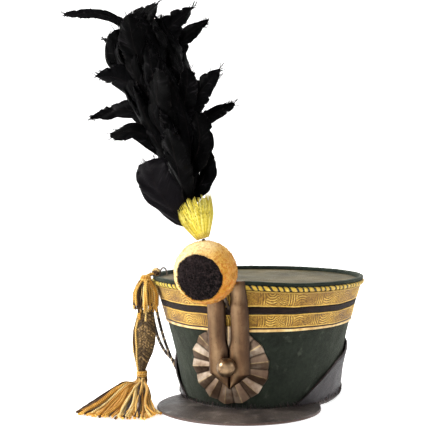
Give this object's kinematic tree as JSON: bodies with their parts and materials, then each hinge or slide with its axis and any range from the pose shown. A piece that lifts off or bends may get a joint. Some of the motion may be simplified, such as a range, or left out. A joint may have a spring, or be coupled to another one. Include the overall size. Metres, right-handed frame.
{
  "type": "shako",
  "caption": "Green felt shako with leather peaks, gold lace bands, brass cockade and loop, wool pompom, black feather plume, and a cap line with plaited flounder and tassels",
  "frame": {"origin": "middle of the head opening, on the surface that the cap rests on", "axes": "-Z out of the head opening, -Y to the front, +X to the wearer's left"},
  "size_m": [0.2584, 0.3313, 0.3962],
  "materials": {
    "felt_green": "fulled wool felt, fuzzy, a little faded",
    "crown_leather": "worn varnished leather, matt and lightly creased",
    "black_leather": "blackened leather, satin, edges worn brown",
    "gold_lace": "woven gold-coloured lace, tarnished",
    "dark_stripe": "dark woven stripe, matt",
    "yellow_braid": "twisted yellow braid with dark flecks",
    "aged_brass": "aged brown brass, satin",
    "yellow_wool": "felted wool, fuzzy",
    "black_wool": "clipped wool pile, matt",
    "yellow_feather": "short dyed feathers",
    "black_feather": "dyed feathers with a soft sheen",
    "line_cord": "twisted and plaited wool cord",
    "gold_fringe": "gold and brown wool threads",
    "iron_wire": "dark iron wire"
  },
  "bodies": {
    "root": {"felt_body": "felt_green", "rim_binding": "felt_green", "crown_top": "crown_leather", "base_binding": "black_leather", "peak": "black_leather", "back_peak": "black_leather", "lace_upper": "gold_lace", "lace_lower": "gold_lace", "lace_edge": "gold_lace", "lace_stripe": "dark_stripe", "rim_braid": "yellow_braid", "cockade_disc": "aged_brass", "loop": "aged_brass", "ball_button": "aged_brass", "line_catch": "aged_brass", "pompom": "yellow_wool", "pompom_face": "black_wool", "feather_cuff": "yellow_feather", "plume": "black_feather", "line_knot": "line_cord", "flounder": "line_cord", "line_cord_a": "line_cord", "line_cord_b": "line_cord", "upper_tassel": "gold_fringe", "tassel_binding": "gold_fringe", "lower_tassel": "gold_fringe", "plume_stem": "iron_wire", "line_hook": "iron_wire"}
  },
  "joints": []
}
